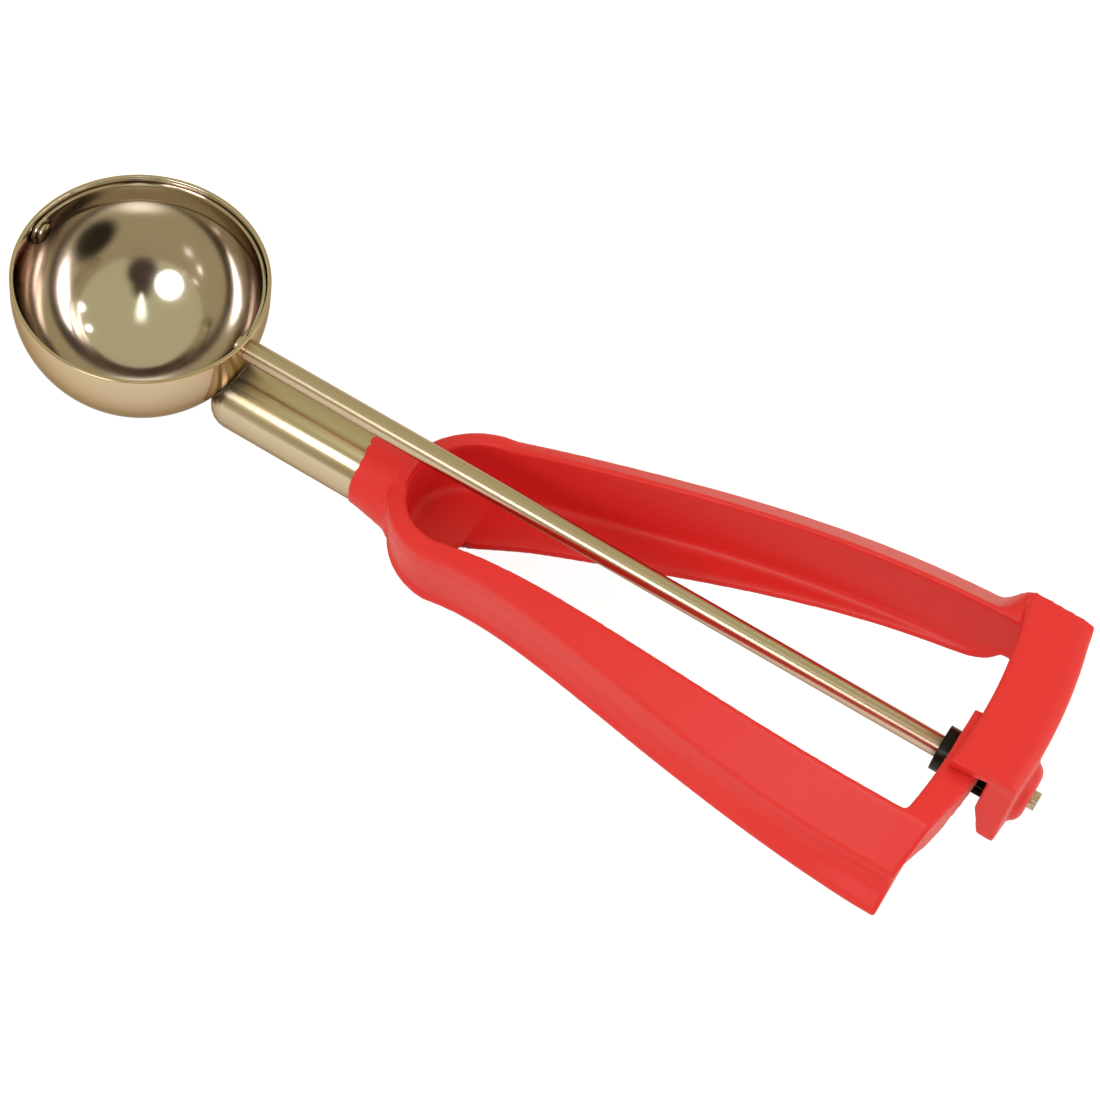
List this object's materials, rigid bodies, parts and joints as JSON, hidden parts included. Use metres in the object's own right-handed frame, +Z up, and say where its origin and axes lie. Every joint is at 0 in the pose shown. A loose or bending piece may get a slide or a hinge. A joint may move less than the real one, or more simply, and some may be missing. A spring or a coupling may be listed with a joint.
{
  "type": "lever ice cream scoop",
  "caption": "Squeeze-handle portion scoop: steel bowl whose half-hoop scraper turns on a long spindle as a flexing plastic arm drives a rack over its pinion.",
  "frame": {"origin": "centre of the bowl's hemisphere, on the spindle axis", "axes": "+X along the spindle towards the handle, +Y towards the arm that carries the rack cover, +Z up out of the bowl's mouth"},
  "size_m": [0.2306, 0.0736, 0.0436],
  "materials": {
    "bowl_steel": "mirror polished",
    "bright_steel": "polished",
    "red_plastic": "satin",
    "black_plastic": "matte"
  },
  "bodies": {
    "scoop": {"bowl": "bowl_steel", "pivot_rivet": "bright_steel", "socket_tube": "bowl_steel", "handle_collar": "red_plastic", "handle_root": "red_plastic", "far_arm": "red_plastic", "rack_cover": "red_plastic", "bearing_dome": "red_plastic"},
    "near_handle": {"near_arm": "red_plastic", "rack_bar": "red_plastic"},
    "spindle": {"spindle_rod": "bright_steel", "scraper_blade": "bright_steel", "pinion": "black_plastic"}
  },
  "joints": [
    {"name": "near_arm_squeeze", "type": "hinge", "parent": "scoop", "child": "near_handle", "pos_m": [0.0795, 0, 0], "axis": [0, 0, 1], "range_deg": [0, 6.19], "stiffness_Nm_per_rad": 12},
    {"name": "spindle_turn", "type": "hinge", "parent": "scoop", "child": "spindle", "pos_m": [0, 0, 0], "axis": [1, 0, 0], "range_deg": [-170, 0]}
  ],
  "couplings": [
    {"joint": "spindle_turn", "follows": "near_arm_squeeze", "ratio": -27.45}
  ]
}
